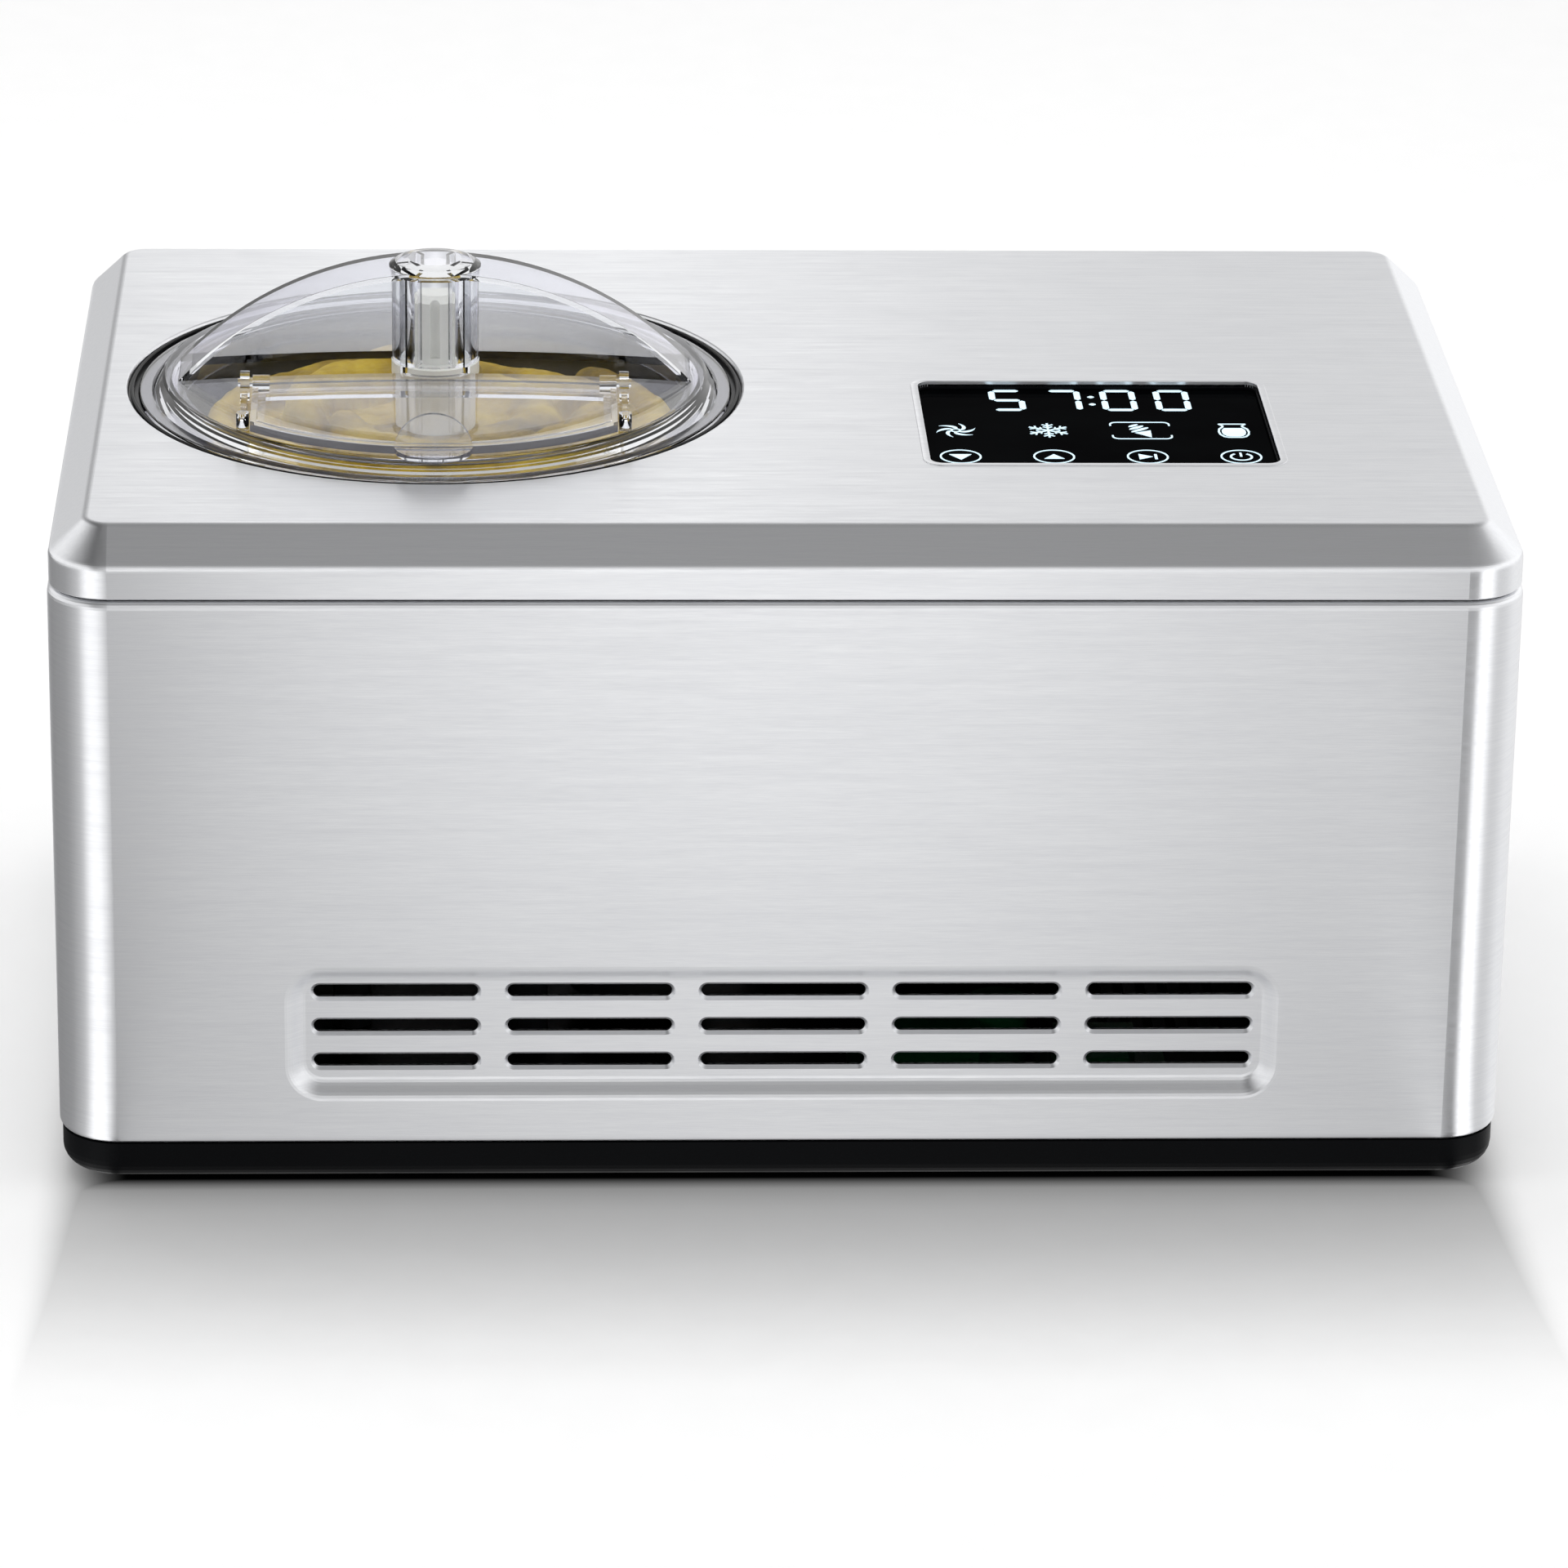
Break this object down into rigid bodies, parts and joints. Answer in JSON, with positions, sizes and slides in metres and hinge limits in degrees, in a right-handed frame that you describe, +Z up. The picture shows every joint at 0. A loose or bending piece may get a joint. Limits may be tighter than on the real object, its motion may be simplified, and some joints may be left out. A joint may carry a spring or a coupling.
{
  "type": "ice cream maker",
  "caption": "Steel-cased compressor ice cream maker with a lift-out bowl, clear arched lid with a hinged refill flap, and a recessed display panel.",
  "frame": {"origin": "centre of the footprint, on the surface that the feet rest on", "axes": "+X to the machine's right as its user faces it, +Y to the back, +Z up"},
  "size_m": [0.425, 0.285, 0.2438],
  "materials": {
    "black_plastic": "fine grain",
    "foot_rubber": "matt",
    "screw_steel": "zinc plated",
    "shell_steel": "brushed along the width",
    "cover_steel": "finely brushed along the width",
    "seal_plastic": "satin",
    "well_aluminium": "satin",
    "tube_copper": "drawn",
    "foam": "foamed",
    "motor_grey": "satin",
    "bush_brass": "turned",
    "shaft_steel": "ground",
    "bowl_aluminium": "anodised",
    "paddle_plastic": "satin",
    "frozen_mix": "churned, soft and slightly grainy",
    "lid_clear": "clear polished",
    "flap_clear": "clear polished",
    "display_glass": "polished black",
    "frame_plastic": "matt",
    "board_green": "solder resist",
    "compressor_paint": "black enamel",
    "grommet_rubber": "matt",
    "relay_plastic": "matt",
    "fin_aluminium": "mill",
    "shroud_plastic": "matt",
    "fan_motor_metal": "satin",
    "fan_plastic": "matt",
    "drier_copper": "drawn",
    "pipe_copper": "drawn",
    "power_green": "solder resist",
    "gland_plastic": "satin"
  },
  "bodies": {
    "housing": {"base_tray": "black_plastic", "feet": "foot_rubber", "base_screws": "screw_steel", "outer_shell": "shell_steel", "top_cover": "cover_steel", "bowl_seal": "seal_plastic", "cooling_well": "well_aluminium", "evaporator_coil": "tube_copper", "insulation": "foam", "gear_motor": "motor_grey", "shaft_bush": "bush_brass", "display_glass": "display_glass", "display_frame": "frame_plastic", "control_board": "board_green", "compressor": "compressor_paint", "compressor_grommets": "grommet_rubber", "start_relay": "relay_plastic", "condenser": "fin_aluminium", "fan_shroud": "shroud_plastic", "fan_motor": "fan_motor_metal", "filter_drier": "drier_copper", "discharge_pipe": "pipe_copper", "power_board": "power_green", "cord_gland": "gland_plastic"},
    "drive": {"drive_shaft": "shaft_steel"},
    "bowl_body": {"bowl": "bowl_aluminium"},
    "paddle_body": {"paddle": "paddle_plastic", "frozen_mix": "frozen_mix"},
    "lid_body": {"lid": "lid_clear"},
    "flap_body": {"lid_flap": "flap_clear"},
    "fan": {"fan_rotor": "fan_plastic"}
  },
  "joints": [
    {"name": "drive_spin", "type": "hinge", "parent": "housing", "child": "drive", "pos_m": [-0.102, -0.0045, 0.06], "axis": [0, 0, 1], "continuous": true},
    {"name": "bowl_lift", "type": "slide", "parent": "housing", "child": "bowl_body", "axis": [0, 0, 1], "range_m": [0, 0.17]},
    {"name": "paddle_spin", "type": "hinge", "parent": "bowl_body", "child": "paddle_body", "pos_m": [-0.102, -0.0045, 0.12], "axis": [0, 0, 1], "continuous": true},
    {"name": "lid_lift", "type": "slide", "parent": "bowl_body", "child": "lid_body", "axis": [0, 0, 1], "range_m": [0, 0.12]},
    {"name": "flap_hinge", "type": "hinge", "parent": "lid_body", "child": "flap_body", "pos_m": [-0.102, -0.0315, 0.213], "axis": [-1, 0, 0], "range_deg": [0, 80]},
    {"name": "fan_spin", "type": "hinge", "parent": "housing", "child": "fan", "pos_m": [0.1567, -0.008, 0.0735], "axis": [1, 0, 0], "continuous": true}
  ],
  "couplings": [
    {"joint": "drive_spin", "follows": "paddle_spin", "ratio": 1}
  ]
}
